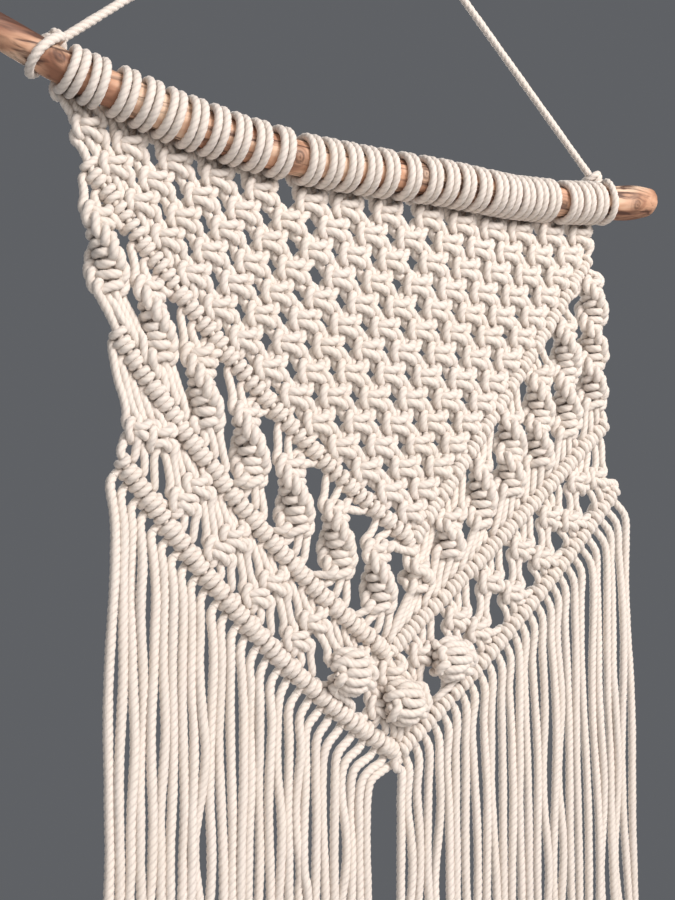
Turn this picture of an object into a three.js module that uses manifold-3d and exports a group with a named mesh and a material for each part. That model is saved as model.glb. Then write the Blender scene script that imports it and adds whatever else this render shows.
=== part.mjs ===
// Macrame wall hanging: a bowed natural branch held by a taut cord, with a panel of knotted cotton cord
// and a long fringe below it. Millimetres, +X to the viewer's right, +Y into the wall, +Z up.
// The origin is the point where the hanging cord rests on its nail.
import * as THREE from "three";
import { mergeVertices } from "three/addons/utils/BufferGeometryUtils.js";
import Module from "manifold-3d";

const wasm = await Module();
wasm.setup();

// Driving dimensions
const CORD = 5; // diameter of the three-strand cotton cord
const LEVEL = -187; // height of the lark's heads' mean line below the nail
const BRANCH_Y = -9.5; // the branch stands in front of the hanging plane
const PANEL_Y = 2; // the knotted panel hangs from the back of the branch
const PANEL_THICK = 11;
const FRINGE_THICK = 6;
const RIB_RADIUS = 4.6; // a diagonal rib of double half hitches
const RIB_CLEAR = 9; // height kept free above and below a rib's centre line
const HINGE_Z = -333; // level of the fringe's bend line, measured like every height below from LEVEL
const HINGE_GAP = 2.2; // half the seam between a fringe's fixed and its hinged part
const FRINGE_END = -640;

// The branch: distance along X, height of its centre, radius
const BRANCH = [
  [-231, 33, 6.9],
  [-206, 24.5, 8],
  [-170, 13, 8.4],
  [-146, 8.5, 9],
  [-118, 2.5, 9.4],
  [-82, -2, 9.4],
  [-45, -4, 9.5],
  [-3, -2.5, 9.4],
  [47, 0.5, 9.3],
  [102, 1.5, 9],
  [144, 5.5, 9.3],
  [172, 10, 9.6],
  [207, 16, 10.8],
  [226, 19.5, 8.2],
];
const BRANCH_STEPS = 44;
const BRANCH_SIDES = 16;
const BRANCH_BURRS = [ // stumps of side twigs: place along X, angle from the top towards the front, height
  [-186, 1.2, 1.6],
  [-52, 1.9, 1.5],
  [31, 1.6, 1.3],
  [139, 2.2, 1.2],
  [204, -1.1, 2.2],
];
const BURR_SPREAD = 7;

// The hanging cord: a loop and a knot at each end of the branch, and the taut run between the knots
const LOOP_X = 188;
const LOOP_TILT = 0.35; // each loop leans, its top towards the panel
const LOOP_CLEAR = 1.8; // from the branch to the inside of the loop
const LOOP_SIDES = [8, 20]; // round the cord, round the loop
const KNOT_X = 185;
const KNOT_LEVEL = 28.5;
const KNOT_RADIUS = 6;
const KNOT_CLEAR = 1.2; // from a knot to the start of the taut run
const NAIL_BEND = [4, 0.3]; // the run starts to bend this far before the nail, and this far down
const RUN_SIDES = 8;
const RUN_STEPS = 60;

// Lark's heads: spacing from each one to the next, with the places where it differs
const HEADS = 28;
const FIRST_HEAD = -172;
const HEAD_PITCH = 12.2;
const HEAD_GAPS = {
  1: 10.5, 2: 15, 9: 14, 10: 18, 15: 15, 16: 15, 20: 12.5,
  21: 10.5, 22: 10.5, 23: 10.5, 24: 10.5, 25: 18, 26: 11, 27: 11,
};
const HEAD_HALF = 4.6;
const HEAD_SIDES = 12;
const HEAD_BEVEL = 1.2;
const HEAD_CLEAR = 0.8; // from the branch to the inside of a lark's head
const HEAD_DROP = 3.4; // from the lowest lark's head to the first square knots
const TRIANGLE_INSET = [1, 4]; // the square knots start this far inside the upper rib's ends
const TRIANGLE_EDGE = 1; // their thinnest height, over the upper rib's ends

// The three ribs, each a V: left end, tip, right end, and how far each half sags at its middle
const RIBS = {
  upper_rib: { left: [-160, -24], tip: [35, -205], right: [184, -13], sag: [15, 3] },
  middle_rib: { left: [-143, -106], tip: [18, -267], right: [188, -130], sag: [14, 2] },
  lower_rib: { left: [-139, -169], tip: [24, -321], right: [197, -171], sag: [15, 7] },
};
const RIB_STEPS = 18;
const RIB_SIDES = 8;

// Sinnets: seven on each side between the upper and the middle rib
const SINNETS = 7;
const SINNET_LEFT = { first: -150, pitch: 27, lean: 0.2 };
const SINNET_RIGHT = { first: 38, pitch: 23.5, lean: -0.05 };
const SINNET_RADIUS = 7.4;
const SINNET_SWELL = 1.4;
const SINNET_TURN = 29; // length of one swelling
const SINNET_NECK = 4; // radius at the ribs, where the four cords spread
const SINNET_TAPER = 0.75;
const SINNET_INSET = 7;
const SINNET_STEPS = 9;
const SINNET_SIDES = 10;

const BERRIES = { left: [-14, -272], middle: [19, -290], right: [55, -269] };
const BERRY_RADIUS = 9.3;
const BALL_SIDES = [12, 8]; // of a berry knot and of the hanging cord's knots
const BERRY_Y = -2;

const NET_LEFT = [-137, -27];
const NET_RIGHT = [66, 190];
const NET_THICK = 9;
const FRINGE_LEFT = [-145, 7];
const FRINGE_RIGHT = [22, 209];
const PLATE_STEPS = 14;

const cotton = new THREE.MeshStandardMaterial({ color: 0xe9dfcb, roughness: 0.92, metalness: 0 });
const wood = new THREE.MeshStandardMaterial({ color: 0xb98460, roughness: 0.7, metalness: 0 });

const hanging = new THREE.Group();

function addMesh(name, geometry, material) {
  const mesh = new THREE.Mesh(geometry, material);
  mesh.name = name;
  hanging.add(mesh);
  return mesh;
}

// Branch -------------------------------------------------------------------------------------------

const spine = new THREE.CatmullRomCurve3(
  BRANCH.map(([x, z]) => new THREE.Vector3(x, BRANCH_Y, LEVEL + z)),
  false,
  "centripetal",
);

// Value of column number `column` of the branch's list at distance x
function branchAt(x, column) {
  const last = BRANCH.length - 1;
  const i = Math.min(last, Math.max(1, BRANCH.findIndex((row) => row[0] >= x)));
  const [a, b] = [BRANCH[i - 1], BRANCH[i]];
  return THREE.MathUtils.lerp(a[column], b[column], (x - a[0]) / (b[0] - a[0]));
}

// The parameter of the spine at distance x, found by halving
function spineParameter(x) {
  let [low, high] = [0, 1];
  while (high - low > 1e-5) {
    const middle = (low + high) / 2;
    if (spine.getPoint(middle).x < x) low = middle;
    else high = middle;
  }
  return low;
}

// A burr lifts the surface round its own place, and falls off like a bell
function burrHeight(x, angle) {
  let height = 0;
  for (const [place, turn, top] of BRANCH_BURRS) {
    const round = branchAt(x, 2) * Math.atan2(Math.sin(angle - turn), Math.cos(angle - turn));
    height += top * Math.exp(-((x - place) ** 2 + round ** 2) / BURR_SPREAD ** 2);
  }
  return height;
}

function branchGeometry() {
  const profile = [new THREE.Vector2(0, 0)];
  for (let i = 0; i <= BRANCH_STEPS; i++) profile.push(new THREE.Vector2(1, i / BRANCH_STEPS));
  profile.push(new THREE.Vector2(0, 1));
  const geometry = new THREE.LatheGeometry(profile, BRANCH_SIDES);
  const place = geometry.getAttribute("position");
  for (let i = 0; i < place.count; i++) {
    const centre = spine.getPoint(place.getY(i));
    const tangent = spine.getTangent(place.getY(i));
    const up = new THREE.Vector3(0, 1, 0).cross(tangent).negate();
    const reach = Math.hypot(place.getX(i), place.getZ(i));
    const angle = Math.atan2(place.getX(i), place.getZ(i));
    const radius = reach * (branchAt(centre.x, 2) + burrHeight(centre.x, angle));
    centre.y -= radius * Math.sin(angle);
    centre.addScaledVector(up, radius * Math.cos(angle));
    place.setXYZ(i, centre.x, centre.y, centre.z);
  }
  return geometry;
}

// Lark's heads ---------------------------------------------------------------------------------------

function headPlaces() {
  const places = [FIRST_HEAD];
  for (let i = 1; i < HEADS; i++) places.push(places[i - 1] + (HEAD_GAPS[i] ?? HEAD_PITCH));
  return places;
}

function ringGeometry(inner, half) {
  const outer = inner + CORD;
  const profile = [
    [inner, -half], [outer - HEAD_BEVEL, -half], [outer, HEAD_BEVEL - half],
    [outer, half - HEAD_BEVEL], [outer - HEAD_BEVEL, half], [inner, half], [inner, -half],
  ];
  return new THREE.LatheGeometry(profile.map(([r, h]) => new THREE.Vector2(r, h)), HEAD_SIDES);
}

function addHeads() {
  headPlaces().forEach((x, i) => {
    const at = spineParameter(x);
    const inner = (branchAt(x, 2) + HEAD_CLEAR + burrClear(x)) / Math.cos(Math.PI / HEAD_SIDES);
    const name = `larks_head_${String(i + 1).padStart(2, "0")}`;
    const ring = addMesh(name, ringGeometry(inner, HEAD_HALF), cotton);
    ring.position.copy(spine.getPoint(at));
    ring.quaternion.setFromUnitVectors(new THREE.Vector3(0, 1, 0), spine.getTangent(at));
  });
}

// The highest burr within reach of a ring at x
function burrClear(x) {
  let height = 0;
  for (const [place, , top] of BRANCH_BURRS) {
    const near = Math.max(0, Math.abs(x - place) - HEAD_HALF);
    height += top * Math.exp(-(near ** 2) / BURR_SPREAD ** 2);
  }
  return height;
}

// Ribs -------------------------------------------------------------------------------------------------

// Height of a rib's centre line at x; each half is a parabola through its ends and its sagging middle
function ribHeight(rib, x) {
  const [end, sag] = x < rib.tip[0] ? [rib.left, rib.sag[0]] : [rib.right, rib.sag[1]];
  const t = THREE.MathUtils.clamp((x - end[0]) / (rib.tip[0] - end[0]), 0, 1);
  return THREE.MathUtils.lerp(end[1], rib.tip[1], t) - 4 * sag * t * (1 - t);
}

function circleShape(radius, sides) {
  const shape = new THREE.Shape();
  for (let i = 0; i < sides; i++) {
    const turn = (2 * Math.PI * (i + 0.5)) / sides;
    if (i) shape.lineTo(radius * Math.cos(turn), radius * Math.sin(turn));
    else shape.moveTo(radius * Math.cos(turn), radius * Math.sin(turn));
  }
  shape.closePath();
  return shape;
}

function tubeGeometry(points, radius, sides, steps) {
  const path = new THREE.CatmullRomCurve3(points, false, "centripetal");
  return new THREE.ExtrudeGeometry(circleShape(radius, sides), { steps, extrudePath: path });
}

function addRibs() {
  for (const [name, rib] of Object.entries(RIBS)) {
    const points = [];
    for (let i = 0; i <= RIB_STEPS; i++) {
      const x = THREE.MathUtils.lerp(rib.left[0], rib.right[0], i / RIB_STEPS);
      points.push(new THREE.Vector3(x, PANEL_Y, LEVEL + ribHeight(rib, x)));
    }
    addMesh(name, tubeGeometry(points, RIB_RADIUS, RIB_SIDES, 2 * RIB_STEPS), cotton);
  }
}

// Flat plates for the knotted nets and the fringe --------------------------------------------------------

// A plate between two height functions from x0 to x1, centred on PANEL_Y
function addPlate(name, [x0, x1], lowEdge, highEdge, thick) {
  const shape = new THREE.Shape();
  const xs = Array.from({ length: PLATE_STEPS + 1 }, (_, i) => THREE.MathUtils.lerp(x0, x1, i / PLATE_STEPS));
  xs.forEach((x, i) => (i ? shape.lineTo(x, lowEdge(x)) : shape.moveTo(x, lowEdge(x))));
  xs.reverse().forEach((x) => shape.lineTo(x, highEdge(x)));
  shape.closePath();
  const slab = new THREE.ExtrudeGeometry(shape, { depth: thick, bevelEnabled: false });
  const plate = addMesh(name, slab, cotton);
  plate.rotation.x = Math.PI / 2;
  plate.position.set(0, PANEL_Y + thick / 2, LEVEL);
}

const above = (rib) => (x) => ribHeight(RIBS[rib], x) + RIB_CLEAR;
const below = (rib) => (x) => ribHeight(RIBS[rib], x) - RIB_CLEAR;
const underHeads = (x) => branchAt(x, 1) - branchAt(x, 2) - CORD - HEAD_DROP;

function addPlates() {
  const { left, right } = RIBS.upper_rib;
  addPlate("square_knot_triangle", [left[0] + TRIANGLE_INSET[0], right[0] - TRIANGLE_INSET[1]],
    (x) => Math.min(above("upper_rib")(x), underHeads(x) - TRIANGLE_EDGE), underHeads, PANEL_THICK);
  addPlate("net_left", NET_LEFT, above("lower_rib"), below("middle_rib"), NET_THICK);
  addPlate("net_right", NET_RIGHT, above("lower_rib"), below("middle_rib"), NET_THICK);
  const [seamTop, seamBottom] = [() => HINGE_Z + HINGE_GAP, () => HINGE_Z - HINGE_GAP];
  addPlate("fringe_left_top", FRINGE_LEFT, seamTop, below("lower_rib"), FRINGE_THICK);
  addPlate("fringe_right_top", FRINGE_RIGHT, seamTop, below("lower_rib"), FRINGE_THICK);
  addPlate("fringe_left", FRINGE_LEFT, () => FRINGE_END, seamBottom, FRINGE_THICK);
  addPlate("fringe_right", FRINGE_RIGHT, () => FRINGE_END, seamBottom, FRINGE_THICK);
}

// Sinnets and berry knots ----------------------------------------------------------------------------------

// A sinnet's end at the rib on its side: 1 for the upper rib, -1 for the middle one
function sinnetEnd(x, lean, side) {
  const height = side > 0 ? below("upper_rib") : above("middle_rib");
  const place = x - lean * side * SINNET_TURN;
  return new THREE.Vector3(place, PANEL_Y, LEVEL + height(place) - side * SINNET_INSET);
}

function sinnetProfile(length) {
  const profile = [new THREE.Vector2(0, 0)];
  for (let i = 0; i <= SINNET_STEPS; i++) {
    const h = (length * i) / SINNET_STEPS;
    const swell = SINNET_SWELL * Math.cos((2 * Math.PI * (h - length / 2)) / SINNET_TURN);
    const cone = SINNET_NECK + SINNET_TAPER * Math.min(h, length - h);
    profile.push(new THREE.Vector2(Math.min(SINNET_RADIUS - swell, cone), h));
  }
  profile.push(new THREE.Vector2(0, length));
  return profile;
}

function addSinnet(name, x, lean) {
  const [bottom, top] = [sinnetEnd(x, lean, -1), sinnetEnd(x, lean, 1)];
  const profile = sinnetProfile(bottom.distanceTo(top));
  const sinnet = addMesh(name, new THREE.LatheGeometry(profile, SINNET_SIDES), cotton);
  sinnet.position.copy(bottom);
  sinnet.quaternion.setFromUnitVectors(new THREE.Vector3(0, 1, 0), top.sub(bottom).normalize());
}

function addSinnets() {
  for (let i = 0; i < SINNETS; i++) {
    addSinnet(`sinnet_left_${i + 1}`, SINNET_LEFT.first + i * SINNET_LEFT.pitch,
      SINNET_LEFT.lean * (1 - i / SINNETS));
    addSinnet(`sinnet_right_${i + 1}`, SINNET_RIGHT.first + i * SINNET_RIGHT.pitch, SINNET_RIGHT.lean);
  }
}

function addBerries() {
  for (const [side, [x, z]] of Object.entries(BERRIES)) {
    const ball = new THREE.SphereGeometry(BERRY_RADIUS, ...BALL_SIDES);
    const berry = addMesh(`berry_knot_${side}`, ball, cotton);
    berry.position.set(x, BERRY_Y, LEVEL + z);
  }
}

// Hanging cord ---------------------------------------------------------------------------------------------

function solidOf(mesh) {
  mesh.updateMatrixWorld(true);
  const bare = mesh.geometry.clone().applyMatrix4(mesh.matrixWorld);
  bare.deleteAttribute("normal");
  bare.deleteAttribute("uv");
  const merged = mergeVertices(bare, 1e-4);
  return new wasm.Manifold(
    new wasm.Mesh({
      numProp: 3,
      vertProperties: merged.getAttribute("position").array,
      triVerts: new Uint32Array(merged.index.array),
    }),
  );
}

function geometryOf(solid) {
  const { numProp, vertProperties, triVerts } = solid.getMesh();
  const geometry = new THREE.BufferGeometry();
  geometry.setAttribute("position", new THREE.BufferAttribute(vertProperties, numProp));
  geometry.setIndex(new THREE.BufferAttribute(triVerts, 1));
  return geometry;
}

// The cord's end: a turn round the branch with a knot on top of it
function addLoop(name, side) {
  const x = side * LOOP_X;
  const at = spineParameter(x);
  const radius = branchAt(x, 2) + burrClear(x) + LOOP_CLEAR + CORD / 2;
  const ring = new THREE.Mesh(new THREE.TorusGeometry(radius, CORD / 2, ...LOOP_SIDES));
  const tangent = spine.getTangent(at).applyAxisAngle(new THREE.Vector3(0, 1, 0), side * LOOP_TILT);
  ring.position.copy(spine.getPoint(at));
  ring.quaternion.setFromUnitVectors(new THREE.Vector3(0, 0, 1), tangent);
  const knot = new THREE.Mesh(new THREE.SphereGeometry(KNOT_RADIUS, ...BALL_SIDES));
  knot.position.set(side * KNOT_X, 0, LEVEL + KNOT_LEVEL);
  addMesh(name, geometryOf(solidOf(ring).add(solidOf(knot))), cotton);
}

// The taut run: up from the left knot, over the nail, down to the right knot
function addHangingCord() {
  const top = new THREE.Vector3(0, 0, CORD / 2);
  const knot = new THREE.Vector3(-KNOT_X, 0, LEVEL + KNOT_LEVEL);
  const slope = knot.clone().sub(top).normalize();
  const start = knot.addScaledVector(slope, -KNOT_RADIUS - KNOT_CLEAR);
  const bend = top.clone().addScaledVector(slope, NAIL_BEND[0]);
  bend.z -= NAIL_BEND[1];
  const half = [start, start.clone().lerp(bend, 0.5), bend];
  const mirror = half.map((p) => new THREE.Vector3(-p.x, p.y, p.z)).reverse();
  const run = tubeGeometry([...half, top, ...mirror], CORD / 2, RUN_SIDES, RUN_STEPS);
  addMesh("hanging_cord", run, cotton);
}

addMesh("branch", branchGeometry(), wood);
addHeads();
addPlates();
addRibs();
addSinnets();
addBerries();
addLoop("left_loop", -1);
addLoop("right_loop", 1);
addHangingCord();

export default hanging;
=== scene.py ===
"""Looks for the macrame wall hanging. The cords are worked out in millimetres, in the part's frame,
and turned into metres when their meshes are made."""
import math

import bpy
import numpy as np
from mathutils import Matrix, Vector


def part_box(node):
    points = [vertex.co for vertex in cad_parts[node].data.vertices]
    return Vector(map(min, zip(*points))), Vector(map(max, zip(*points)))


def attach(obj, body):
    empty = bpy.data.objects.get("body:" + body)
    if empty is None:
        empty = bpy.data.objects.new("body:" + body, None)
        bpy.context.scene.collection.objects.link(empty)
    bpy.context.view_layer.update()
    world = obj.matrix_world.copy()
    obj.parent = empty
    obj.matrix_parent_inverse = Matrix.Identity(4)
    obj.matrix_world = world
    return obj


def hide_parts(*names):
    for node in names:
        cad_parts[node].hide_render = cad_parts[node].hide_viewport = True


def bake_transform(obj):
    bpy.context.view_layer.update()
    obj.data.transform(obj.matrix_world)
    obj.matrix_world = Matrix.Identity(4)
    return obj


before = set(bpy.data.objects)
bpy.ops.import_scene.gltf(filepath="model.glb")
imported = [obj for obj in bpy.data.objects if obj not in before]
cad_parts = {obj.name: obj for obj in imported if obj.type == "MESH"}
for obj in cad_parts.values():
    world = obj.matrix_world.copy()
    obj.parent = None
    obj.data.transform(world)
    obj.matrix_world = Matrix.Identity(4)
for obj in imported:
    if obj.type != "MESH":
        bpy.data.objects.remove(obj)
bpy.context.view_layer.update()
random = np.random.default_rng(7)

MM = 0.001
CORD = 5.0            # diameter of the cotton cord where it hangs free
TIED = 4.75           # its diameter where a knot pulls it tight
LAY = 11.5            # length of one turn of its three strands
LEVEL = -187.0        # height of the lark's heads' mean line under the nail
BRANCH_Y = -9.5       # the branch's centre line
PANEL_Y = 2.0         # the knotted panel's middle plane
FRINGE_END = -640.0   # from LEVEL

# The branch: distance along X, height of its centre from LEVEL, radius
BRANCH = np.array([
    (-231, 33, 6.9), (-206, 24.5, 8), (-170, 13, 8.4), (-146, 8.5, 9), (-118, 2.5, 9.4),
    (-82, -2, 9.4), (-45, -4, 9.5), (-3, -2.5, 9.4), (47, 0.5, 9.3), (102, 1.5, 9),
    (144, 5.5, 9.3), (172, 10, 9.6), (207, 16, 10.8), (226, 19.5, 8.2),
])
# The ribs: outer end on each side, tip, and how far each half sags
RIBS = {
    "upper": {"left": (-160, -24), "right": (184, -13), "tip": (35, -205), "sag": (15, 3)},
    "middle": {"left": (-143, -106), "right": (188, -130), "tip": (18, -267), "sag": (14, 2)},
    "lower": {"left": (-139, -169), "right": (197, -171), "tip": (24, -321), "sag": (15, 7)},
}
RIGHT = np.array([1.0, 0, 0])
VIEWER = np.array([0, -1.0, 0])
UP = np.array([0, 0, 1.0])
HEADS = 28
HALF = 28             # strands on each side of the middle
SEGMENT = 1.7         # spacing of the points that are relaxed


# Camera, light and floor --------------------------------------------------------------------------

CAMERA_PLACE = (-0.3508, -0.520, -0.4088)
CAMERA_YAW, CAMERA_PITCH = 32.8, 5.91      # degrees to the right and upwards
LENS, SENSOR = 46, 36
MIDDLE = (0, 0, -0.4)                      # where the lights point
# Each light: name, place, diameter, power, colour
LIGHTS = [
    ("key", (0.5, -1.5, 0.45), 0.8, 36, (1, 0.955, 0.93)),
    ("fill", (-0.9, -1.6, -0.2), 1.8, 12.5, (1, 0.97, 0.955)),
    ("back", (0.3, 1.6, 0.3), 1.2, 22, (1, 1, 1)),
]
SKY = (0.115, 0.12, 0.13, 1)
FLOOR_LEVEL, FLOOR_RADIUS = -0.9, 1.05
FLOOR_GREY = (0.6, 0.6, 0.6, 1)


def add_camera():
    data = bpy.data.cameras.new("camera")
    data.lens, data.sensor_width, data.sensor_fit = LENS, SENSOR, "AUTO"
    data.clip_start = 0.01
    camera = bpy.data.objects.new("camera", data)
    bpy.context.collection.objects.link(camera)
    yaw, pitch = math.radians(CAMERA_YAW), math.radians(CAMERA_PITCH)
    forward = Vector((math.sin(yaw) * math.cos(pitch), math.cos(yaw) * math.cos(pitch), math.sin(pitch)))
    camera.location = CAMERA_PLACE
    camera.rotation_euler = forward.to_track_quat("-Z", "Y").to_euler()
    bpy.context.scene.camera = camera


def add_area(name, place, size, power, colour):
    data = bpy.data.lights.new(name, "AREA")
    data.shape, data.size, data.energy, data.color = "DISK", size, power, colour
    light = bpy.data.objects.new(name, data)
    bpy.context.collection.objects.link(light)
    light.location = place
    light.rotation_euler = (Vector(MIDDLE) - Vector(place)).to_track_quat("-Z", "Y").to_euler()


def add_light():
    for light in LIGHTS:
        add_area(*light)
    world = bpy.data.worlds.new("studio")
    world.use_nodes = True
    world.node_tree.nodes["Background"].inputs["Color"].default_value = SKY
    world.node_tree.nodes["Background"].inputs["Strength"].default_value = 1.0
    bpy.context.scene.world = world
    bpy.context.scene.view_settings.view_transform = "Standard"


def add_floor():
    place = (0, 0, FLOOR_LEVEL)
    bpy.ops.mesh.primitive_circle_add(vertices=96, radius=FLOOR_RADIUS, fill_type="NGON", location=place)
    floor = bpy.context.object
    floor.name = "floor"
    material, shader = new_material("floor_paint")
    shader.inputs["Base Color"].default_value = FLOOR_GREY
    shader.inputs["Roughness"].default_value = 0.9
    floor.data.materials.append(material)


def new_material(name):
    material = bpy.data.materials.new(name)
    material.use_nodes = True
    return material, material.node_tree.nodes["Principled BSDF"]


# Shapes that the cords follow ---------------------------------------------------------------------

def branch_centre(x):
    return np.array([x, BRANCH_Y, LEVEL + np.interp(x, BRANCH[:, 0], BRANCH[:, 1])])


def branch_radius(x):
    return float(np.interp(x, BRANCH[:, 0], BRANCH[:, 2]))


def branch_along(x):
    step = branch_centre(x + 4) - branch_centre(x - 4)
    return step / np.linalg.norm(step)


def rib_curve(name, side):
    """Points along one half of a rib from its outer end to its tip, and their distance along it."""
    rib = RIBS[name]
    end, tip, sag = np.array(rib[side], float), np.array(rib["tip"], float), rib["sag"][side == "right"]
    t = np.linspace(0, 1, 101)
    flat = end + t[:, None] * (tip - end)
    flat[:, 1] -= 4 * sag * t * (1 - t)
    points = np.stack([flat[:, 0], np.full(101, PANEL_Y), LEVEL + flat[:, 1]], axis=1)
    along = np.concatenate([[0], np.cumsum(np.linalg.norm(np.diff(points, axis=0), axis=1))])
    return points, along


def rib_place(name, side, t):
    """Point and direction at share t of a rib's half, from its outer end to its tip."""
    points, along = rib_curve(name, side)
    at = t * along[-1]
    place = np.array([np.interp(at, along, points[:, k]) for k in range(3)])
    ahead = np.array([np.interp(at + 3, along, points[:, k]) for k in range(3)])
    behind = np.array([np.interp(at - 3, along, points[:, k]) for k in range(3)])
    return place, (ahead - behind) / np.linalg.norm(ahead - behind)


# Routes of the 56 strands ---------------------------------------------------------------------------

class Route:
    """The points that each strand passes through. With each go how firmly it is held there, its
    diameter, and 1 in the fringe or 0 above it."""

    def __init__(self):
        self.points = [[] for _ in range(2 * HALF)]
        self.notes = [[] for _ in range(2 * HALF)]

    def add(self, strand, point, hold=0.02, size=TIED, tail=0):
        self.points[strand - 1].append(np.asarray(point, float))
        self.notes[strand - 1].append((hold, size, tail))


# One half knot. The strand in front starts on the left, crosses over the fillers and leaves on the
# right behind the other one, which does the same turned half round. Across and depth are in cord
# diameters, height in half knots.
CROSSING = [
    (-1.30, -0.15, 0.50), (-1.44, -0.45, 0.28), (-1.20, -0.05, -0.05), (-0.70, 0.70, -0.12),
    (0.00, 0.95, 0.00), (0.70, 0.75, 0.15), (0.98, 0.10, 0.35), (1.20, -0.50, 0.28),
    (1.52, -0.45, -0.05), (1.40, -0.12, -0.38),
]


def half_knot(route, front, back, fillers, origin, axes, side, pitch, behind=1.0, size=TIED):
    """side is 1 where the front strand starts on the left; fillers are (left, right)."""
    right, viewer, up = axes
    for across, depth, height in CROSSING:
        rise = height * pitch * up
        route.add(front, origin + size * (side * across * right + depth * viewer) + rise, 0.09, size)
        route.add(back, origin - size * (side * across * right + behind * depth * viewer) + rise, 0.09, size)
    for filler, across in zip(fillers, (-0.48, 0.48)):
        route.add(filler, origin + size * across * right, 0.1, size)


def square_knot(route, strands, origin, pitch=4.6, lean=0.0, size=TIED):
    """Two mirrored half knots, tied by the outer two of four strands given from left to right."""
    turn = math.radians(lean)
    right = math.cos(turn) * RIGHT + math.sin(turn) * UP
    up = math.cos(turn) * UP - math.sin(turn) * RIGHT
    a, b, c, d = strands
    axes = (right, VIEWER, up)
    half_knot(route, a, d, (b, c), origin + pitch / 2 * up, axes, 1, pitch, size=size)
    half_knot(route, a, d, (b, c), origin - pitch / 2 * up, axes, -1, pitch, size=size)


HEAD_CORD, BAR_CORD = 4.5, 4.7
# Half the bar behind a lark's head: degrees round the branch from its back, reach beyond the wood in
# diameters, distance sideways
HEAD_BACK = [(-38, 1.45, 0.3), (-34, 1.42, 2.2), (-18, 1.1, 3.6), (10, 0.6, 3.0)]


def add_heads(route):
    """Each cord is folded in half and set on the branch with its bar behind and two strands in front."""
    for head in range(HEADS):
        low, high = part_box(f"larks_head_{head + 1:02d}")
        x = (low.x + high.x) / 2 / MM
        centre, radius, along = branch_centre(x), branch_radius(x), branch_along(x)
        normal = np.cross(along, -VIEWER)
        normal *= np.sign(normal[2])

        def around(degrees, reach, across):
            turn = math.radians(degrees)
            return centre + along * across + reach * (math.cos(turn) * -VIEWER + math.sin(turn) * normal)

        for side, strand in ((-1, 2 * head + 1), (1, 2 * head + 2)):
            for degrees, reach, across in HEAD_BACK:
                route.add(strand, around(degrees, radius + reach * CORD, side * across), 0.1, BAR_CORD)
            for degrees in range(40, 300, 24):
                route.add(strand, around(degrees, radius + 0.44 * CORD, side * 2.4), 0.12, HEAD_CORD)
            route.add(strand, around(308, radius + 0.48 * CORD, side * 2.3), 0.08, HEAD_CORD)
            route.add(strand, around(330, radius + 0.62 * CORD, side * 2.2), 0.04)


def under_heads(x):
    return branch_centre(x)[2] - branch_radius(x) - CORD


def first_row(knots):
    """Where the first row of square knots hangs: under its two lark's heads, drifting to the right."""
    places = []
    for j in range(knots):
        boxes = [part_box(f"larks_head_{2 * j + k:02d}") for k in (1, 2)]
        x = sum((low.x + high.x) / 2 / MM for low, high in boxes) / 2
        x += 5 * (j == 0) + 3 + 4 * np.clip((x + 20) / 150, 0, 1)
        places.append((x, under_heads(x) - 5.5))
    return np.array(places)


ABOVE_RIB = np.array([2.0, 0, 15.0])   # from the upper rib's left half to the knots that end at it
MIRROR = np.array([-1, 1, 1])
HEADED_ROWS = 6                        # how many rows down the lark's heads still move the knots
LEFT_CORD = 4.35                       # the cord's diameter in the knots furthest left


def row_ends(row):
    """Where a row of the triangle would have its first and its last knot if it were straight."""
    t = (2 * row - 1) / (HALF - 1)
    left = rib_place("upper", "left", t)[0] + ABOVE_RIB
    right = rib_place("upper", "right", 0.05 + 0.95 * t)[0] + ABOVE_RIB * MIRROR
    return left, right


def add_triangle(route):
    """Fourteen rows of alternating square knots, each row one knot shorter, between the ribs' halves."""
    rows = HALF // 2
    top = first_row(rows)
    start, stop = row_ends(1)
    for row in range(1, rows + 1):
        left, right = row_ends(row)
        knots = rows + 1 - row
        fade = max(0.0, 1 - (row - 1) / HEADED_ROWS)
        for j in range(knots):
            share = j / max(1, knots - 1)
            place = left + share * (right - left)
            if row == rows:
                place = (left + right) / 2
            first = start + share * (stop - start)
            at = share * (rows - 1)
            moved = [np.interp(at, np.arange(rows), top[:, k]) for k in (0, 1)]
            place = place + fade * np.array([moved[0] - first[0], 0, moved[1] - first[2]])
            place[[0, 2]] += random.normal(0, 0.5, 2)
            strand = 2 * row - 1 + 4 * j
            slope = math.degrees(math.atan2(right[2] - left[2], right[0] - left[0])) if row < rows else 0
            lean = 0.5 * slope + random.normal(0, 2)
            size = np.interp(place[0], (-130, -20), (LEFT_CORD, TIED))
            square_knot(route, range(strand, strand + 4), place, lean=lean, size=size)


RIB_CORD, HELD_CORD = 4.0, 3.6
# A double half hitch: place along the rib in hitch widths, angle round it, distance in cord diameters
HITCH = [
    (0.0, 15, 1.35), (0.0, -45, 0.9), (-0.1, -100, 0.8), (-0.22, -150, 0.8), (-0.26, -200, 0.8),
    (-0.26, -245, 0.82), (-0.25, -290, 0.82), (-0.24, -335, 0.8), (-0.18, -385, 1.0), (0.0, -435, 1.35),
    (0.18, -490, 1.15), (0.25, -540, 0.84), (0.26, -590, 0.82), (0.26, -635, 0.82), (0.25, -685, 0.82),
    (0.22, -735, 0.8), (0.14, -785, 0.75), (0.08, -830, 0.8),
]


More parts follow.
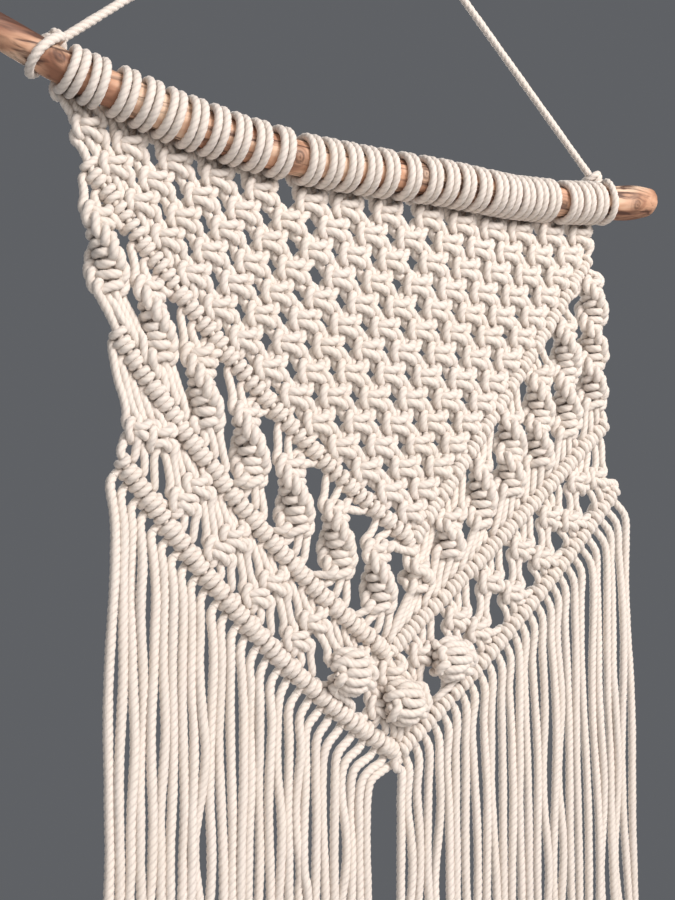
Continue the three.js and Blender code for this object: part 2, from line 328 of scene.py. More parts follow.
def add_rib(route, name, side, order, start=0.0):
    """Double half hitches over the outermost strand. The order goes from the outside to the middle, and is
    returned as the strands leave."""
    holder, tied = order[0], order[1:]
    first, along = rib_place(name, side, start)
    route.add(holder, first + 3 * UP - 1.5 * along, 0.1)
    width = (1 - start) * rib_curve(name, side)[1][-1] / len(tied)
    for k, strand in enumerate(tied):
        centre, along = rib_place(name, side, start + (1 - start) * (k + 0.5) / len(tied))
        up = np.cross(along, VIEWER)
        up *= np.sign(up[2])
        route.add(holder, centre, 0.2, HELD_CORD)
        jitter = random.normal(0, 0.4)

        def around(across, degrees, reach):
            turn = math.radians(degrees)
            offset = reach * RIB_CORD * (math.cos(turn) * up + math.sin(turn) * VIEWER)
            return centre + (across * width + jitter) * along + offset

        for across, degrees, reach in HITCH:
            route.add(strand, around(across, degrees, reach), 0.06, RIB_CORD)
        route.add(strand, around(0.05, -880, 1.45), 0.03, NET_CORD)
    last, along = rib_place(name, side, 1.0)
    route.add(holder, last + 1.5 * along, 0.15, RIB_CORD)
    route.add(holder, last + 3.0 * along - 6.5 * UP, 0.05)
    return tied + [holder]


def node_ends(name):
    """The middles of a CAD node's lowest and highest points, in millimetres."""
    points = np.array([v.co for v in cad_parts[name].data.vertices]) / MM
    low, high = points[:, 2].min(), points[:, 2].max()
    return points[points[:, 2] < low + 1].mean(0), points[points[:, 2] > high - 1].mean(0)


SINNET_FREE = 5.0     # length at each end of a sinnet without a knot
HALF_KNOT_RISE = 4.9  # about what each half knot adds to a sinnet's length
HALF_TURN_RISE = 29   # about what a sinnet gains while it makes half a turn


def add_sinnet(route, strands, name):
    """Half knots that all start on the same side, so that the band turns as it goes down. The strands,
    from left to right, are returned in the order that they leave in."""
    bottom, top = node_ends(name)
    top, bottom = top + 2 * UP, bottom - 2 * UP
    length = np.linalg.norm(top - bottom)
    up = (top - bottom) / length
    count = round((length - 2 * SINNET_FREE) / HALF_KNOT_RISE)
    pitch = (length - 2 * SINNET_FREE) / count
    half_turns = max(1, round(count * pitch / HALF_TURN_RISE))
    left, right, fillers = strands[0], strands[3], list(strands[1:3])
    start = random.normal(0, 0.25)
    for i in range(count):
        turn = start + math.pi * half_turns * i / (count - 1)
        axes = (math.cos(turn) * RIGHT - math.sin(turn) * VIEWER,
                math.cos(turn) * VIEWER + math.sin(turn) * RIGHT, up)
        origin = top - (SINNET_FREE + (i + 0.5) * pitch) * up + random.normal(0, 0.3, 3)
        half_knot(route, left, right, fillers, origin, axes, 1, pitch)
        left, right = right, left
    if half_turns % 2:
        left, right, fillers = right, left, fillers[::-1]
    return [left, *fillers, right]


def add_sinnets(route, order, side):
    leaving = []
    for i in range(HALF // 4):
        group = order[4 * i:4 * i + 4]
        number = i + 1 if side == "left" else HALF // 4 - i
        if side == "right":
            group = group[::-1]
        group = add_sinnet(route, group, f"sinnet_{side}_{number}")
        leaving += group if side == "left" else group[::-1]
    return leaving


def between_ribs(side, position, share):
    """A place between the middle and the lower rib, under a position along the middle rib."""
    t = (position - 0.5) / HALF
    upper, lower = rib_place("middle", side, t)[0], rib_place("lower", side, t)[0]
    return upper + share * (lower - upper)


NET_CORD, NET_PITCH = 4.35, 4.3


def add_net(route, left, right):
    """Two rows of alternating square knots, with berry knots near the middle."""
    for side, order in (("left", left), ("right", right)):
        flip = 1 if side == "left" else -1
        for first in range(3, HALF - 4, 4):
            group = order[first - 1:first + 3][::flip]
            place = between_ribs(side, first + 2, 0.36) + random.normal(0, 0.8, 3) * (1, 0, 1)
            square_knot(route, group, place, NET_PITCH, random.normal(0, 4), NET_CORD)
    middle = [left[-2], left[-1], right[-1], right[-2]]
    tip = rib_place("middle", "left", 1.0)[0]
    square_knot(route, middle, tip + (3, 0, -12.5))
    add_berry(route, middle, "berry_knot_middle")
    for side, order in (("left", left), ("right", right)):
        flip = 1 if side == "left" else -1
        for first in range(1, HALF, 4):
            group = order[first - 1:first + 3][::flip]
            if first == HALF - 7:
                add_berry(route, group, f"berry_knot_{side}")
                continue
            share = 0.52 if first == 1 else 0.66
            place = between_ribs(side, first + 2, share) + random.normal(0, 0.8, 3) * (1, 0, 1)
            square_knot(route, group, place, NET_PITCH, random.normal(0, 4), NET_CORD)


# X of the fringe's outermost strand and of its middle one
FRINGE = {"left": (-142, 4.5), "right": (206.5, 25)}


def add_fringe(route, order, side):
    """The strands bend down out of the lower rib and hang plumb, a little out of line, to a level cut."""
    first, last = FRINGE[side]
    outward = -1 if side == "left" else 1
    for k, strand in enumerate(order):
        t = min((k + 0.5) / (HALF - 1), 1.0)
        exit, along = rib_place("lower", side, t)
        down = np.cross(along, VIEWER)
        down *= -np.sign(down[2])
        x = first + k * (last - first) / (HALF - 1) + random.normal(0, 0.5)
        route.add(strand, exit + 10 * down + 2.5 * -VIEWER, 0.03, 4.7, 1)
        turn = np.array([x + 0.2 * (exit[0] + 12 * down[0] - x) + outward, PANEL_Y, exit[2] - 13])
        route.add(strand, turn, 0.03, CORD, 1)
        end = LEVEL + FRINGE_END + 3 + random.normal(0, 1.2)
        sway, wave, start = random.uniform(0.6, 2.0), random.uniform(80, 190), random.uniform(0, 6.28)
        lean = random.normal(0, 1.8)
        for z in np.arange(exit[2] - 28, end - 4, -14):
            share = (exit[2] - z) / (exit[2] - end)
            phase = start + 2 * math.pi * z / wave
            across = x + sway * math.sin(phase) + lean * share
            depth = PANEL_Y + sway * math.cos(0.8 * phase)
            route.add(strand, (across, depth, z), 0.03, CORD, 1)
        route.add(strand, (x + lean, PANEL_Y, end), 0.03, CORD * 1.06, 1)


# From the middle of a berry knot's CAD node to the middle of its ball
BERRY_SHIFT = {
    "berry_knot_left": (4, -1, -4),
    "berry_knot_middle": (6, -1, -4),
    "berry_knot_right": (2, -1, -3),
}
BERRY_HALVES = 7      # half knots in a berry knot
BERRY_REACH = 4.9     # from the ball's middle to the middle of its band
BERRY_PITCH = 4.4
BERRY_WIDTH, BERRY_THICKNESS = 1.45, 1.15


def add_berry(route, strands, name):
    """Square knots rolled forwards into a ball: the band bulges towards the viewer and comes back."""
    low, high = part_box(name)
    centre = np.array((low + high) / 2) / MM
    centre += BERRY_SHIFT[name]
    a, b, c, d = strands
    for i in range(BERRY_HALVES):
        turn = math.radians(95 - 190 * (i + 0.5) / BERRY_HALVES)
        outward = math.cos(turn) * VIEWER + math.sin(turn) * UP
        up = math.cos(turn) * UP - math.sin(turn) * VIEWER
        axes = (BERRY_WIDTH * RIGHT, BERRY_THICKNESS * outward, up)
        side = 1 if i % 2 == 0 else -1
        half_knot(route, a, d, (b, c), centre + BERRY_REACH * outward, axes, side, BERRY_PITCH, behind=0.6)


def build_routes():
    route = Route()
    add_heads(route)
    add_triangle(route)
    left, right = list(range(1, HALF + 1)), list(range(2 * HALF, HALF, -1))
    left = add_rib(route, "upper", "left", left)
    right = add_rib(route, "upper", "right", right, 0.05)
    left, right = add_sinnets(route, left, "left"), add_sinnets(route, right, "right")
    left = add_rib(route, "middle", "left", left)
    right = add_rib(route, "middle", "right", right)
    add_net(route, left, right)
    left = add_rib(route, "lower", "left", left)
    right = add_rib(route, "lower", "right", right)
    add_fringe(route, left, "left")
    add_fringe(route, right, "right")
    return route


# Relaxing the cords -----------------------------------------------------------------------------------

def smooth_line(points, values, spacing):
    """A Catmull-Rom curve through the points, as points that far apart, with the values carried along."""
    p = np.vstack([2 * points[0] - points[1], points, 2 * points[-1] - points[-2]])
    t = np.linspace(0, 1, 8, endpoint=False)[:, None]
    pieces, carried = [], []
    for i in range(1, len(p) - 2):
        a, b, c, d = p[i - 1:i + 3]
        pieces.append(0.5 * (2 * b + (c - a) * t + (2 * a - 5 * b + 4 * c - d) * t ** 2
                             + (3 * b - a - 3 * c + d) * t ** 3))
        carried.append(values[i - 1] + (values[i] - values[i - 1]) * t)
    return resample(np.vstack([*pieces, points[-1:]]), np.vstack([*carried, values[-1:]]), spacing)


def resample(line, values, spacing):
    along = length_along(line)
    at = np.linspace(0, along[-1], max(2, round(along[-1] / spacing) + 1))
    both = np.hstack([line, values])
    both = np.stack([np.interp(at, along, column) for column in both.T], axis=1)
    return both[:, :3], both[:, 3:]


def length_along(line):
    return np.concatenate([[0], np.cumsum(np.linalg.norm(np.diff(line, axis=0), axis=1))])


def close_pairs(points, reach):
    """Index pairs of points closer than reach, found through cubes of that size."""
    cell = np.floor(points / reach).astype(np.int64)
    cell -= cell.min(0) - 1
    size = cell.max(0) + 2
    key = (cell[:, 0] * size[1] + cell[:, 1]) * size[2] + cell[:, 2]
    order = np.argsort(key, kind="stable")
    ranked = key[order]
    found = []
    for dx, dy, dz in np.ndindex(3, 3, 3):
        shift = ((dx - 1) * size[1] + dy - 1) * size[2] + dz - 1
        if shift < 0:
            continue
        low = np.searchsorted(ranked, key + shift, "left")
        count = np.searchsorted(ranked, key + shift, "right") - low
        i = np.repeat(np.arange(len(points)), count)
        place = np.arange(count.sum()) - np.repeat(np.cumsum(count) - count, count)
        j = order[np.repeat(low, count) + place]
        keep = (i < j) if shift == 0 else np.ones(len(i), bool)
        keep[keep] = ((points[i[keep]] - points[j[keep]]) ** 2).sum(1) < reach ** 2
        found.append(np.stack([i[keep], j[keep]]))
    return np.concatenate(found, axis=1)


TOUCH = 0.9           # how far apart two cords that press on each other stay, in diameters
ROUNDS = 60
STRAIGHTEN = 0.32     # share of a point's distance from its neighbours' middle that a round takes away
PUSH = 0.30           # share of an overlap that each of two points gives way by
FURTHEST_BACK = PANEL_Y + 1.75 * CORD


def relax(lines, notes):
    """Pulls the cords tight while they push each other apart, stay clear of the branch and stay near their
    places. A pair on one cord that comes with its later point first isn't pushed, so a cord still runs
    into itself in places."""
    points, notes = np.vstack(lines), np.vstack(notes)
    hold, size = notes[:, :1], notes[:, 1]
    home = points.copy()
    count = len(points)
    cord = np.repeat(np.arange(len(lines)), [len(line) for line in lines])
    inner = np.flatnonzero((cord[1:-1] == cord[:-2]) & (cord[1:-1] == cord[2:])) + 1
    for step in range(ROUNDS):
        if step % 6 == 0:
            i, j = close_pairs(points, CORD + 1.2)
            apart = (cord[i] != cord[j]) | (j - i > 5)
            i, j = i[apart], j[apart]
            gap = TOUCH * (size[i] + size[j]) / 2
        points[inner] += STRAIGHTEN * ((points[inner - 1] + points[inner + 1]) / 2 - points[inner])
        points += hold * (home - points)
        for _ in range(2):
            push = points[i] - points[j]
            distance = np.maximum(np.linalg.norm(push, axis=1), 1e-6)
            near = distance < gap
            move = push[near] * (PUSH * (gap[near] - distance[near]) / distance[near])[:, None]
            for axis in range(3):
                points[:, axis] += np.bincount(i[near], move[:, axis], count)
                points[:, axis] -= np.bincount(j[near], move[:, axis], count)
        keep_off_branch(points)
        points[:, 1] = np.minimum(points[:, 1], FURTHEST_BACK)
    return np.split(points, np.cumsum([len(line) for line in lines])[:-1])


def keep_off_branch(points):
    near = np.flatnonzero(points[:, 2] > LEVEL - 30)
    height = LEVEL + np.interp(points[near, 0], BRANCH[:, 0], BRANCH[:, 1])
    radius = np.interp(points[near, 0], BRANCH[:, 0], BRANCH[:, 2]) + 0.45 * CORD
    off = np.stack([points[near, 1] - BRANCH_Y, points[near, 2] - height], axis=1)
    distance = np.maximum(np.linalg.norm(off, axis=1), 1e-6)
    inside = distance < radius
    off *= (radius / distance)[:, None]
    points[near[inside], 1] = BRANCH_Y + off[inside, 0]
    points[near[inside], 2] = height[inside] + off[inside, 1]


# Rope meshes ------------------------------------------------------------------------------------------

SIDES = 12            # points round a cord: four for each of its three strands
RING = 1.15           # spacing of the rings along a cord


def turned_frames(line):
    """A normal and a binormal at each point that turn no more than the line does."""
    tangent = np.gradient(line, axis=0)
    tangent /= np.linalg.norm(tangent, axis=1)[:, None]
    normal = np.zeros_like(line)
    seed = np.cross(tangent[0], (0.3, 0.2, 0.9))
    normal[0] = seed / np.linalg.norm(seed)
    for k in range(1, len(line)):
        n = normal[k - 1] - (normal[k - 1] @ tangent[k]) * tangent[k]
        normal[k] = n / math.sqrt(n @ n)
    return normal, np.cross(tangent, normal)


ANGLE = 2 * math.pi * (np.arange(SIDES) + 2) / SIDES
LOBE = np.abs((ANGLE + math.pi / 3) % (2 * math.pi / 3) - math.pi / 3)
PROFILE = 0.24 * np.cos(LOBE) + np.sqrt(0.76 ** 2 - (0.24 * np.sin(LOBE)) ** 2)
GROOVE = (PROFILE.max() - PROFILE) / np.ptp(PROFILE)


def rope_rings(line, size, phase, relief=1.0):
    """The rings of points round a line, turning with the cord's strands. Relief is 1 for loose strands."""
    normal, binormal = turned_frames(line)
    along = length_along(line)
    theta = ANGLE[None, :] + (phase + 2 * math.pi * along / LAY)[:, None]
    uneven = 1 + 0.025 * np.sin(along / 6 + 3 * phase) + 0.02 * np.sin(along / 2.3 + phase)
    profile = 1 - np.multiply.outer(np.broadcast_to(relief, len(line)), 1 - PROFILE)
    radius = (size / 2 * 1.05 * uneven)[:, None] * profile
    return (line[:, None, :] + (radius * np.cos(theta))[..., None] * normal[:, None, :]
            + (radius * np.sin(theta))[..., None] * binormal[:, None, :])


def rope_mesh(name, line, rings, material, shade=None):
    """A closed mesh through the rings, with the length along it and the turn round it as its UVs."""
    count = len(rings)
    k, c = [grid.ravel() for grid in np.meshgrid(np.arange(count - 1), np.arange(SIDES), indexing="ij")]
    d = (c + 1) % SIDES
    wall = np.stack([k * SIDES + c, k * SIDES + d, (k + 1) * SIDES + d, (k + 1) * SIDES + c], axis=1)
    u, v = length_along(line) * MM, c / SIDES
    wall_uv = np.stack([np.stack([u[k], v], 1), np.stack([u[k], v + 1 / SIDES], 1),
                        np.stack([u[k + 1], v + 1 / SIDES], 1), np.stack([u[k + 1], v], 1)], axis=1)
    side = np.arange(SIDES)
    ahead = (side + 1) % SIDES
    first, last = count * SIDES, count * SIDES + 1
    start = np.stack([np.full(SIDES, first), ahead, side, side], axis=1)
    stop = np.stack([np.full(SIDES, last), last - 1 - SIDES + side, last - 1 - SIDES + ahead,
                     last - 1 - SIDES + ahead], axis=1)
    verts = np.vstack([rings.reshape(-1, 3), line[[0, -1]]])
    # Painted shade in the colour: darker in the grooves between the three strands, plus the depth shade in
    # the gaps between cords; each cap's middle gets half.
    painted_shade_and_knot_dark = 0.22 * np.tile(GROOVE, count) ** 2 + (0 if shade is None else shade.ravel())
    painted_shade_and_knot_dark = np.concatenate([painted_shade_and_knot_dark, [0.5, 0.5]]).clip(0, 1)
    cap_uv = np.zeros((SIDES, 4, 2))
    faces, uvs = [wall, start, stop], [wall_uv, cap_uv, cap_uv + u[-1]]
    return mesh_object(name, verts * MM, faces, uvs, painted_shade_and_knot_dark, material)


# Painted shade in the gaps between cords: the depth share where it starts, the range over which it grows,
# and its power.
SHADE_FROM, SHADE_RANGE, SHADE_POWER = 0.34, 0.45, 1.4


class Depth:
    """How deep the cords' points lie between the cords round them, seen from the front and the back."""

    def __init__(self, points):
        self.corner = points[:, [0, 2]].min(0) - 12
        size = np.ceil(points[:, [0, 2]].max(0) + 12 - self.corner).astype(int)
        self.front, self.back = np.full(size, 30.0), np.full(size, -30.0)
        x, z = self.cells(points)
        np.minimum.at(self.front, (x, z), points[:, 1])
        np.maximum.at(self.back, (x, z), points[:, 1])

    def cells(self, points):
        return np.floor(points[:, [0, 2]] - self.corner).astype(int).T

    def shade(self, rings):
        """From 0 on the outside to 1 in a gap that the cords round it close."""
        points = rings.reshape(-1, 3)
        x, z = self.cells(points)
        shades = []
        for surface, sign in ((self.front, 1), (self.back, -1)):
            total = 0
            for distance in (2.0, 4.0):
                for turn in np.arange(8) * math.pi / 4 + distance:
                    dx, dz = round(distance * math.cos(turn)), round(distance * math.sin(turn))
                    rise = (sign * (points[:, 1] - surface[x + dx, z + dz])).clip(0, 5)
                    total = total + rise / np.hypot(rise, distance)
            shades.append(total / 16)
        shade = ((np.minimum(*shades) - SHADE_FROM) / SHADE_RANGE).clip(0, 1)
        return shade.reshape(rings.shape[:2]) ** SHADE_POWER


def mesh_object(name, verts, faces, uvs, painted_shade_and_knot_dark, material):
    """Faces have four corners, and a triangle repeats its last one."""
    faces, uvs = np.vstack(faces), np.vstack(uvs)
    triangle = faces[:, 2] == faces[:, 3]
    sizes = np.where(triangle, 3, 4)
    keep = np.ones(faces.shape, bool)
    keep[triangle, 3] = False
    mesh = bpy.data.meshes.new(name)
    mesh.vertices.add(len(verts))
    mesh.vertices.foreach_set("co", verts.astype(np.float32).ravel())
    mesh.loops.add(int(sizes.sum()))
    mesh.loops.foreach_set("vertex_index", faces[keep].astype(np.int32))
    mesh.polygons.add(len(faces))
    mesh.polygons.foreach_set("loop_start", np.concatenate([[0], np.cumsum(sizes)[:-1]]).astype(np.int32))
    mesh.polygons.foreach_set("loop_total", sizes.astype(np.int32))
    mesh.polygons.foreach_set("use_smooth", np.ones(len(faces), bool))
    mesh.update(calc_edges=True)
    layer = mesh.uv_layers.new(name="UVMap")
    layer.data.foreach_set("uv", uvs[keep].astype(np.float32).ravel())
    # The float attribute holds painted shade on the cords and the branch's own dark knot rings.
    if painted_shade_and_knot_dark is not None:
        attribute = mesh.attributes.new("painted_shade_and_knot_dark", "FLOAT", "POINT")
        attribute.data.foreach_set("value", painted_shade_and_knot_dark.astype(np.float32))
    mesh.materials.append(material)
    mesh.validate()
    piece = bpy.data.objects.new(name, mesh)
    bpy.context.collection.objects.link(piece)
    return piece


# Materials ----------------------------------------------------------------------------------------------

def add_node(tree, kind, inputs=(), **settings):
    node = tree.nodes.new(kind)
    for name, value in settings.items():
        setattr(node, name, value)
    for name, value in dict(inputs).items():
        if isinstance(value, bpy.types.NodeSocket):
            tree.links.new(value, node.inputs[name])
        else:
            node.inputs[name].default_value = value
    return node


def mix_colours(tree, share, first, second):
    node = tree.nodes.new("ShaderNodeMix")
    node.data_type = "RGBA"
    for socket, value in ((node.inputs[0], share), (node.inputs[6], first), (node.inputs[7], second)):
        if isinstance(value, bpy.types.NodeSocket):
            tree.links.new(value, socket)
        else:
            socket.default_value = value
    return node.outputs[2]


def maths(tree, operation, a, b=0.0):
    return add_node(tree, "ShaderNodeMath", {0: a, 1: b}, operation=operation).outputs[0]


def noise(tree, place, detail, distortion=0.0):
    settings = {"Vector": place, "Scale": 1.0, "Detail": detail, "Distortion": distortion}
    return add_node(tree, "ShaderNodeTexNoise", settings).outputs["Fac"]


def bump(tree, shader, height, strength, distance):
    settings = {"Height": height, "Strength": strength, "Distance": distance}
    tree.links.new(add_node(tree, "ShaderNodeBump", settings).outputs[0], shader.inputs["Normal"])


CREAM, CREAM_WARM = (0.84, 0.77, 0.72, 1), (0.80, 0.72, 0.64, 1)
# CREAM_DARK is the yarns' darker tone; the last colour is the painted shade of the grooves and of the gaps
# between cords.
CREAM_DARK, PAINTED_SHADE_TAN = (0.70, 0.60, 0.49, 1), (0.17, 0.105, 0.065, 1)


def cotton():
    """Undyed cotton: cream crowns with fine yarns, and painted shade, tan, in the grooves and gaps."""
    material, shader = new_material("cotton_cord")
    tree = material.node_tree
    uv = add_node(tree, "ShaderNodeTexCoord").outputs["UV"]
    parts = add_node(tree, "ShaderNodeSeparateXYZ", {0: uv})
    around = maths(tree, "ADD", parts.outputs[1], maths(tree, "MULTIPLY", parts.outputs[0], 1000 / LAY))
    across_yarns = maths(tree, "MULTIPLY", around, 26.0)
    along_yarns = maths(tree, "MULTIPLY", parts.outputs[0], 260.0)
    yarn_place = add_node(tree, "ShaderNodeCombineXYZ", {0: across_yarns, 1: along_yarns}).outputs[0]
    yarns = noise(tree, yarn_place, 2.0)
    place = add_node(tree, "ShaderNodeTexCoord").outputs["Object"]
    stains = add_node(tree, "ShaderNodeTexNoise", {"Vector": place, "Scale": 28.0, "Detail": 2.0})
    painted_shade_and_knot_dark = add_node(tree, "ShaderNodeAttribute", attribute_name="painted_shade_and_knot_dark").outputs["Fac"]
    cream = mix_colours(tree, stains.outputs["Fac"], CREAM, CREAM_WARM)
    cream = mix_colours(tree, maths(tree, "MULTIPLY", yarns, 0.3), cream, CREAM_DARK)
    # Painted shade: the colour goes nearly all the way to tan where the grooves and gaps are deepest.
    deep = maths(tree, "MULTIPLY", painted_shade_and_knot_dark, 0.95)
    tree.links.new(mix_colours(tree, deep, cream, PAINTED_SHADE_TAN), shader.inputs["Base Color"])
    bump(tree, shader, yarns, 0.3, 0.0006)
    shader.inputs["Roughness"].default_value = 0.88
    shader.inputs["Sheen Weight"].default_value = 0.25
    shader.inputs["Specular IOR Level"].default_value = 0.25
    return material


WOOD_DARK, WOOD_MIDDLE, WOOD_PALE = (0.29, 0.125, 0.07, 1), (0.58, 0.32, 0.20, 1), (0.80, 0.58, 0.42, 1)
CRACK, KNOT_DARK = (0.085, 0.035, 0.022, 1), (0.05, 0.022, 0.014, 1)


def peeled_wood():
    """Peeled branch: peach to red-brown, with dark cracks along the grain."""
    material, shader = new_material("peeled_wood")
    tree = material.node_tree
    place = add_node(tree, "ShaderNodeTexCoord").outputs["Object"]
    long_place = add_node(tree, "ShaderNodeMapping", {"Vector": place, "Scale": (9, 210, 210)}).outputs[0]
    grain = noise(tree, long_place, 5.0, 0.6)
    patch_place = add_node(tree, "ShaderNodeMapping", {"Vector": place, "Scale": (22, 45, 45)}).outputs[0]
    patches = noise(tree, patch_place, 3.0, 0.8)
    shade = tree.nodes.new("ShaderNodeValToRGB")
    tree.links.new(patches, shade.inputs[0])
    stops = shade.color_ramp.elements
    stops[0].position, stops[0].color = 0.36, WOOD_DARK
    stops[1].position, stops[1].color = 0.66, WOOD_PALE
    middle = stops.new(0.50)
    middle.color = WOOD_MIDDLE
    streak = add_node(tree, "ShaderNodeMapRange", {0: grain, 1: 0.38, 2: 0.50, 3: 0.95, 4: 0.0})
    colour = mix_colours(tree, streak.outputs[0], shade.outputs[0], CRACK)
    knots = add_node(tree, "ShaderNodeAttribute", attribute_name="painted_shade_and_knot_dark").outputs["Fac"]
    colour = mix_colours(tree, knots, colour, KNOT_DARK)
    tree.links.new(colour, shader.inputs["Base Color"])
    bump(tree, shader, grain, 0.7, 0.0012)
    shader.inputs["Roughness"].default_value = 0.62
    return material


# The branch and what holds it up ------------------------------------------------------------------------

# Where side twigs were cut off: distance along X, turn from the top to the front, height, width
BURRS = [
    (-181.5, 1.6, 1.6, 5.5), (-215, 2.0, 1.2, 4), (-52, 1.9, 1.6, 6.5), (31, 1.6, 1.3, 5.5),
    (139, 2.0, -1.8, 4), (204, -1.1, 2.2, 8), (200, 1.9, 1.2, 5),
]
# The ridges along the branch: how many round it, their turns in 100 mm, their height
RIDGES = [(2, 1.2, 0.30), (3, -0.8, 0.22), (5, 1.7, 0.16), (9, -2.3, 0.10), (14, 3.1, 0.06)]


BRANCH_RINGS, BRANCH_SIDES = 460, 72


def add_branch(material):
    """A peeled branch: bent and tapered like the CAD's, with ridges, burrs at its knots and worn ends."""
    steps, sides = BRANCH_RINGS, BRANCH_SIDES
    x = np.linspace(BRANCH[0, 0], BRANCH[-1, 0], steps)
    angle = 2 * math.pi * np.arange(sides) / sides
    height = smooth_values(x, BRANCH[:, 0], BRANCH[:, 1])
    radius = smooth_values(x, BRANCH[:, 0], BRANCH[:, 2])
    from_end = np.minimum(x - x[0], x[-1] - x) / 5
    radius *= np.sqrt(1 - (1 - np.clip(from_end, 0.12, 1)) ** 2)
    ridges = np.zeros((steps, sides))
    for count, turns, size in RIDGES:
        shift = random.uniform(0, 6.28) + np.cumsum(random.normal(0, 0.02, steps))
        ridges += size * np.sin(count * angle[None, :] + (turns * x / 100 + shift)[:, None])
    dark = np.zeros((steps, sides))
    for place, turn, size, spread in BURRS:
        apart = np.angle(np.exp(1j * (angle - turn)))[None, :] * radius[:, None]
        distance = np.hypot((x - place)[:, None], apart)
        ridges += size * np.exp(-(distance / spread) ** 2)
        rings = 0.5 + 0.5 * np.cos(2.6 * distance)
        dark += np.exp(-(distance / spread * 1.15) ** 2) * (0.35 + 0.65 * rings)
    reach = (radius[:, None] + ridges * (radius / radius.max())[:, None])
    forward, upward = reach * np.sin(angle), reach * np.cos(angle)
    points = np.stack([np.repeat(x[:, None], sides, 1), BRANCH_Y - forward,
                       LEVEL + height[:, None] + upward], axis=2)
    k, c = [grid.ravel() for grid in np.meshgrid(np.arange(steps - 1), np.arange(sides), indexing="ij")]
    d = (c + 1) % sides
    wall = np.stack([k * sides + c, k * sides + d, (k + 1) * sides + d, (k + 1) * sides + c], axis=1)
    side, ahead = np.arange(sides), (np.arange(sides) + 1) % sides
    first, last = steps * sides, steps * sides + 1
    start = np.stack([np.full(sides, first), ahead, side, side], axis=1)
    stop = np.stack([np.full(sides, last), (steps - 1) * sides + side, (steps - 1) * sides + ahead,
                     (steps - 1) * sides + ahead], axis=1)
    centres = np.array([points[0].mean(0), points[-1].mean(0)])
    verts = np.vstack([points.reshape(-1, 3), centres])
    uvs = [np.zeros((len(f), 4, 2)) for f in (wall, start, stop)]
    piece = mesh_object("peeled_branch", verts * MM, [wall, start, stop], uvs,
                        np.concatenate([dark.clip(0, 1).ravel(), [0.3, 0.3]]), material)
    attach(piece, "panel")
    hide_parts("branch")


def smooth_values(x, places, values):
    """Values at x on a smooth curve through the given ones."""
    slope = np.gradient(values, places)
    k = np.clip(np.searchsorted(places, x) - 1, 0, len(places) - 2)
    step = places[k + 1] - places[k]
    t = (x - places[k]) / step
    return ((2 * t ** 3 - 3 * t ** 2 + 1) * values[k] + (t ** 3 - 2 * t ** 2 + t) * step * slope[k]
            + (3 * t ** 2 - 2 * t ** 3) * values[k + 1] + (t ** 3 - t ** 2) * step * slope[k + 1])


HANGER_CORD = 4.6     # diameter of the hanging cord
# The two knots of the hanging cord, in the part's frame
KNOTS = {"left": np.array([-179.5, 0, -158.5]), "right": np.array([183.0, 0, -158.5])}
NAIL = np.array([0, 0, 2.5])


def add_hanger(material):
    """The hanging cord over its nail, with its loop round the branch and its knot at each end."""
    slopes = {side: (NAIL - knot) / np.linalg.norm(NAIL - knot) for side, knot in KNOTS.items()}
    runs = {}
    for side, knot in KNOTS.items():
        length = np.linalg.norm(NAIL - knot)
        runs[side] = [knot + at * slopes[side] for at in np.linspace(7.2, length - 6, 60)]
    points = np.array([*runs["right"], NAIL - 0.3 * UP, *runs["left"][::-1]])
    line, notes = smooth_line(points, np.full((len(points), 1), HANGER_CORD), RING)
    piece = rope_mesh("hanging_cord_run", line, rope_rings(line, notes[:, 0], 0.4), material)
    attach(piece, "hanging_cord")
    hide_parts("hanging_cord")
    for side in ("left", "right"):
        add_loop(side, KNOTS[side], slopes[side], material)


# Round the branch from its top over the back: degrees, distance outwards along it, extra reach
LOOP_ROUND = {
    "left": [(-20, -5.0, 1.5), (-60, -4.5, 0.3), (-110, -2.5, 0), (-160, 1.5, 0), (-210, 4.0, 0),
             (-255, 3.0, 0), (-300, -1.0, 0.2), (-335, -5.0, 1.2)],
    "right": [(-20, 1.0, 1.5), (-60, 0.5, 0.3), (-110, 0, 0), (-160, -0.8, 0), (-210, -1.6, 0),
              (-255, -2.0, 0), (-300, -1.6, 0.2), (-335, 0.0, 1.2)],
}
# Round the run above the branch: degrees from the right, rise along the run, distance from it
LOOP_KNOT = [
    (60, -4.5, 3.4), (0, -3.6, 4.2), (-70, -2.8, 4.3), (-140, -1.8, 4.3), (-210, -0.6, 4.3),
    (-280, 0.8, 4.3), (-350, 2.0, 4.3), (-420, 3.2, 4.3), (-490, 4.2, 4.3), (-560, 5.0, 4.2),
    (-630, 4.4, 4.4), (-690, 2.4, 4.8), (-740, -0.2, 6.8), (-760, -1.8, 9.0),
]


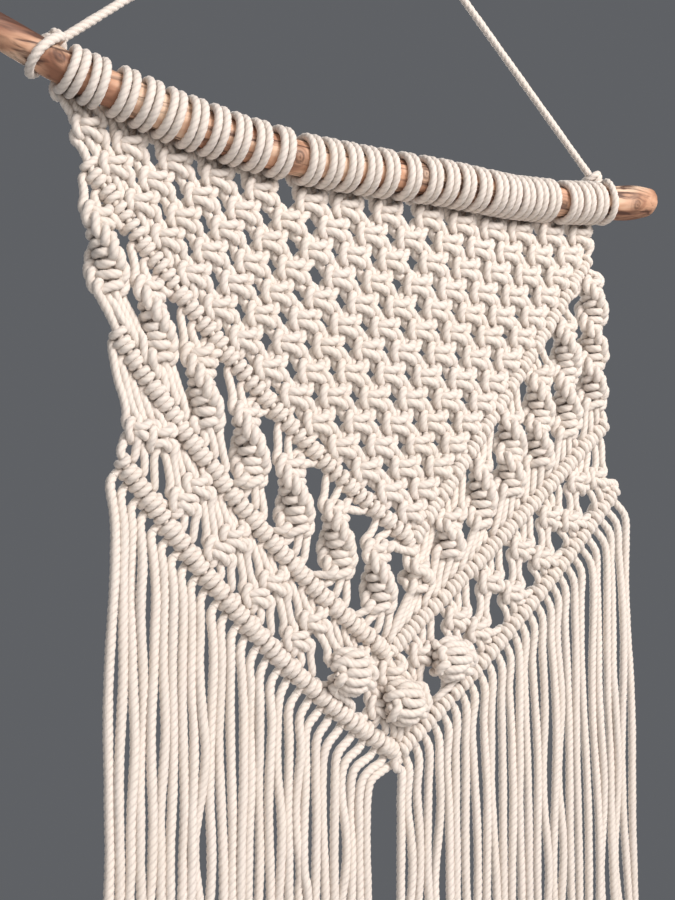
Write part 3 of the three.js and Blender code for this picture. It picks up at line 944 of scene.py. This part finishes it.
def add_loop(side, knot, slope, material):
    """The cord comes down through its knot, goes round the branch and ties itself round its own run."""
    x, sign = (-187.0, -1) if side == "left" else (181.0, 1)
    along = branch_along(x)
    normal = np.cross(along, -VIEWER)
    normal *= np.sign(normal[2])
    reach = branch_radius(x) + HANGER_CORD * 0.48

    def around(degrees, across, extra=0.0):
        turn = math.radians(degrees)
        outward = math.cos(turn) * normal + math.sin(turn) * VIEWER
        return branch_centre(x) + along * across + (reach + extra) * outward

    cross = np.cross(slope, VIEWER)
    cross /= np.linalg.norm(cross)
    front = np.cross(cross, slope)

    def wrap(degrees, rise, radius):
        turn = math.radians(degrees)
        return knot + slope * rise + radius * (math.cos(turn) * cross + math.sin(turn) * front)

    points = [knot + slope * rise for rise in (9, 5, 1, -3)]
    points += [around(degrees, sign * across, extra) for degrees, across, extra in LOOP_ROUND[side]]
    points += [wrap(degrees, rise, radius) for degrees, rise, radius in LOOP_KNOT]
    line, notes = smooth_line(np.array(points), np.full((len(points), 1), HANGER_CORD), RING)
    piece = rope_mesh(f"{side}_loop_cord", line, rope_rings(line, notes[:, 0], 1.1), material)
    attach(piece, "panel")
    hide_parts(f"{side}_loop")


# Making everything --------------------------------------------------------------------------------------

MIDDLE_X = 15         # between the left and the right fringe
ENOUGH = 8            # points of a cord that have to lie in a CAD node's box for the cord to replace it


def node_boxes():
    """Each knot's CAD node with the box round it in millimetres."""
    boxes = {}
    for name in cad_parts:
        if name in ("branch", "hanging_cord", "left_loop", "right_loop") or name.startswith("fringe"):
            continue
        low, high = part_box(name)
        boxes[name] = (np.array(low) / MM, np.array(high) / MM)
    return boxes


def add_cord(number, line, rings, shade, notes, material, boxes):
    """One cord: its knotted length, and the two tails that its fringe ends make."""
    knotted = np.flatnonzero(notes[:, 2] < 0.5)
    first, last = knotted[0], knotted[-1]
    body = rope_mesh(f"knotting_cord_{number:02d}", line[first:last + 1], rings[first:last + 1], material,
                     shade[first:last + 1])
    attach(body, "panel")
    inside = line[first:last + 1]
    for node, (low, high) in boxes.items():
        within = ((inside > low) & (inside < high)).all(1).sum()
        if node == f"larks_head_{number:02d}" or (not node.startswith("larks") and within > ENOUGH):
            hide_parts(node)
    add_tail(2 * number - 1, line[first::-1], rings[first::-1, ::-1], shade[first::-1, ::-1], material)
    add_tail(2 * number, line[last:], rings[last:], shade[last:], material)


def add_tail(number, line, rings, shade, material):
    side = "left" if line[-1, 0] < MIDDLE_X else "right"
    tail = rope_mesh(f"fringe_{side}_strand_{number:02d}", line, rings, material, shade)
    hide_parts(f"fringe_{side}", f"fringe_{side}_top")
    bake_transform(tail)


add_camera()
add_light()
add_floor()
fibre = cotton()
route = build_routes()
lines, notes = [], []
for head in range(HEADS):
    points = np.array(route.points[2 * head][::-1] + route.points[2 * head + 1])
    values = np.array(route.notes[2 * head][::-1] + route.notes[2 * head + 1])
    line, noted = smooth_line(points, values, SEGMENT)
    lines.append(line)
    notes.append(noted)
lines = relax(lines, notes)
boxes = node_boxes()
cords = [resample(line, noted, RING) for line, noted in zip(lines, notes)]
ropes = [rope_rings(line, noted[:, 1], random.uniform(0, 6.28), 0.6 + 0.5 * noted[:, 2])
         for line, noted in cords]
depth = Depth(np.vstack([rings.reshape(-1, 3) for rings in ropes]))
for number, ((line, noted), rings) in enumerate(zip(cords, ropes), 1):
    add_cord(number, line, rings, depth.shade(rings), noted, fibre, boxes)
add_branch(peeled_wood())
add_hanger(fibre)
